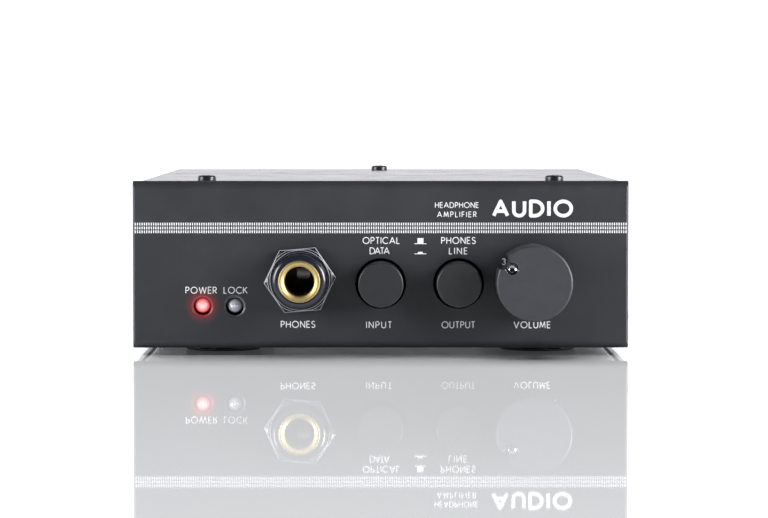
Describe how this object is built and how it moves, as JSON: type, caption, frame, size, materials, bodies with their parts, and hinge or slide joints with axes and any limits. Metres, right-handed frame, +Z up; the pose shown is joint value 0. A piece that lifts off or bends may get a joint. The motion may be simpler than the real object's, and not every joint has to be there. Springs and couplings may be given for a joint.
{
  "type": "headphone amplifier",
  "caption": "Small desktop headphone amplifier: folded metal case with a headphone socket, push buttons, volume knob and lamps in front and digital and line sockets behind.",
  "frame": {"origin": "on the ground, under the middle of the object's outer box", "axes": "+Y from the front panel to the back, +X to the right seen from the front, +Z up"},
  "size_m": [0.1094, 0.152, 0.039],
  "materials": {
    "panel_paint": "fine satin black powder coat",
    "cover_paint": "fine satin black powder coat",
    "screw_black": "black zinc, semi-gloss",
    "foot_rubber": "black, semi-gloss",
    "socket_plastic": "moulded, glossy black",
    "gilt": "gold plated",
    "tinned": "tinned",
    "button_plastic": "satin black",
    "nylon_white": "natural nylon",
    "switch_plastic": "moulded black",
    "knob_metal": "dark anodised, satin, bright rim",
    "plain_steel": "plated",
    "track_board": "phenolic",
    "lamp_red": "tinted epoxy, lit",
    "lamp_clear": "clear epoxy, unlit",
    "board_green": "solder mask",
    "can_blue": "shrink sleeve",
    "can_violet": "shrink sleeve",
    "film_red": "moulded box",
    "fin_aluminium": "black anodised",
    "relay_orange": "moulded",
    "chip_black": "moulded epoxy",
    "rear_plastic": "moulded black",
    "socket_rings": "moulded"
  },
  "bodies": {
    "case": {"front_panel": "panel_paint", "top_cover": "cover_paint", "bottom_chassis": "cover_paint", "rear_panel": "cover_paint", "rubber_feet": "foot_rubber", "cover_screws": "screw_black", "side_screws": "screw_black", "bottom_screws": "screw_black", "headphone_socket_body": "socket_plastic", "headphone_socket_nut": "socket_plastic", "headphone_socket_washer": "tinned", "headphone_socket_sleeve": "gilt", "headphone_contacts": "gilt", "input_switch_body": "switch_plastic", "output_switch_body": "switch_plastic", "volume_control_body": "plain_steel", "volume_track": "track_board", "power_led": "lamp_red", "lock_led": "lamp_clear", "led_holder": "switch_plastic", "led_leads": "tinned", "main_board": "board_green", "board_standoffs": "gilt", "board_screws": "tinned", "supply_capacitors": "can_blue", "output_capacitors": "can_violet", "film_capacitors": "film_red", "voltage_regulators": "chip_black", "regulator_heatsink": "fin_aluminium", "output_relay": "relay_orange", "digital_chips": "chip_black", "op_amp_chips": "chip_black", "clock_crystals": "tinned", "line_socket_block": "rear_plastic", "line_socket_sleeves": "gilt", "line_socket_insulators": "socket_rings", "line_socket_contacts": "gilt", "line_socket_screw": "screw_black", "optical_socket_body": "rear_plastic", "optical_receiver": "lamp_red", "usb_socket_shell": "plain_steel", "usb_socket_tongue": "nylon_white", "power_inlet_body": "rear_plastic", "power_inlet_pin": "tinned", "power_switch_frame": "rear_plastic"},
    "volume": {"volume_knob": "knob_metal", "volume_shaft": "plain_steel", "volume_wiper": "gilt"},
    "input_key": {"input_button": "button_plastic", "input_plunger": "nylon_white"},
    "output_key": {"output_button": "button_plastic", "output_plunger": "nylon_white"},
    "optical_flap": {"optical_shutter": "rear_plastic"},
    "power_key": {"power_rocker": "rear_plastic"}
  },
  "joints": [
    {"name": "volume_turn", "type": "hinge", "parent": "case", "child": "volume", "pos_m": [0.0328, -0.0635, 0.0162], "axis": [0, 1, 0], "range_deg": [-84, 196]},
    {"name": "input_press", "type": "slide", "parent": "case", "child": "input_key", "axis": [0, 1, 0], "range_m": [0, 0.003], "stiffness_N_per_m": 600, "springref_m": -0.001},
    {"name": "output_press", "type": "slide", "parent": "case", "child": "output_key", "axis": [0, 1, 0], "range_m": [0, 0.003], "stiffness_N_per_m": 600, "springref_m": -0.001},
    {"name": "optical_flap_swing", "type": "hinge", "parent": "case", "child": "optical_flap", "pos_m": [-0.008, 0.0653, 0.01685], "axis": [-1, 0, 0], "range_deg": [0, 82], "stiffness_Nm_per_rad": 0.0002, "springref_deg": -28.65},
    {"name": "power_rock", "type": "hinge", "parent": "case", "child": "power_key", "pos_m": [0.04, 0.0639, 0.0238], "axis": [0, 0, -1], "range_deg": [0, 18]}
  ]
}
